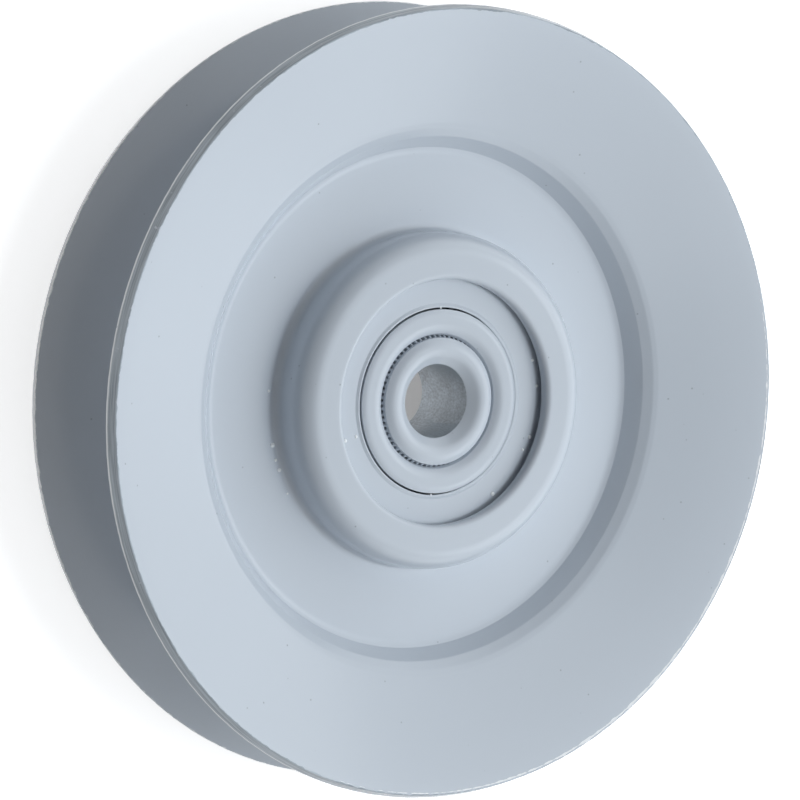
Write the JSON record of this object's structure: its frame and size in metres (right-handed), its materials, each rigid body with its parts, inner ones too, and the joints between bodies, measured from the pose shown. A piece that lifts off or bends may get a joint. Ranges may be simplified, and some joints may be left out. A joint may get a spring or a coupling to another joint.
{
  "type": "idler pulley",
  "caption": "Idler pulley for a V-belt: two pressed sheet-steel halves joined round a shielded ball bearing with a bushed bore, painted grey.",
  "frame": {"origin": "middle of the bore, on the axis and on the plane where the two halves meet", "axes": "+Z along the axis towards the front side; +X and +Y lie in the plane where the halves meet"},
  "size_m": [0.1016, 0.1016, 0.021],
  "materials": {
    "painted_sheet": "semi-gloss grey paint",
    "painted_shield": "semi-gloss grey paint",
    "painted_ring": "semi-gloss grey paint on steel",
    "painted_bushing": "semi-gloss grey paint, bare steel in the bore",
    "bearing_steel": "ground and polished",
    "cage_strip": "pressed strip, bright"
  },
  "bodies": {
    "hub": {"bushing": "painted_bushing", "bearing_inner_ring": "painted_ring"},
    "pulley": {"front_half": "painted_sheet", "rear_half": "painted_sheet", "bearing_outer_ring": "bearing_steel", "front_shield": "painted_shield", "rear_shield": "painted_shield"},
    "cage": {"ball_1": "bearing_steel", "ball_2": "bearing_steel", "ball_3": "bearing_steel", "ball_4": "bearing_steel", "ball_5": "bearing_steel", "ball_6": "bearing_steel", "ball_7": "bearing_steel", "ball_8": "bearing_steel", "cage_front": "cage_strip", "cage_rear": "cage_strip", "cage_rivets": "cage_strip"}
  },
  "joints": [
    {"name": "pulley_spin", "type": "hinge", "parent": "hub", "child": "pulley", "pos_m": [0, 0, 0], "axis": [0, 0, 1], "continuous": true},
    {"name": "cage_spin", "type": "hinge", "parent": "hub", "child": "cage", "pos_m": [0, 0, 0], "axis": [0, 0, 1], "continuous": true}
  ],
  "couplings": [
    {"joint": "cage_spin", "follows": "pulley_spin", "ratio": 0.6184}
  ]
}
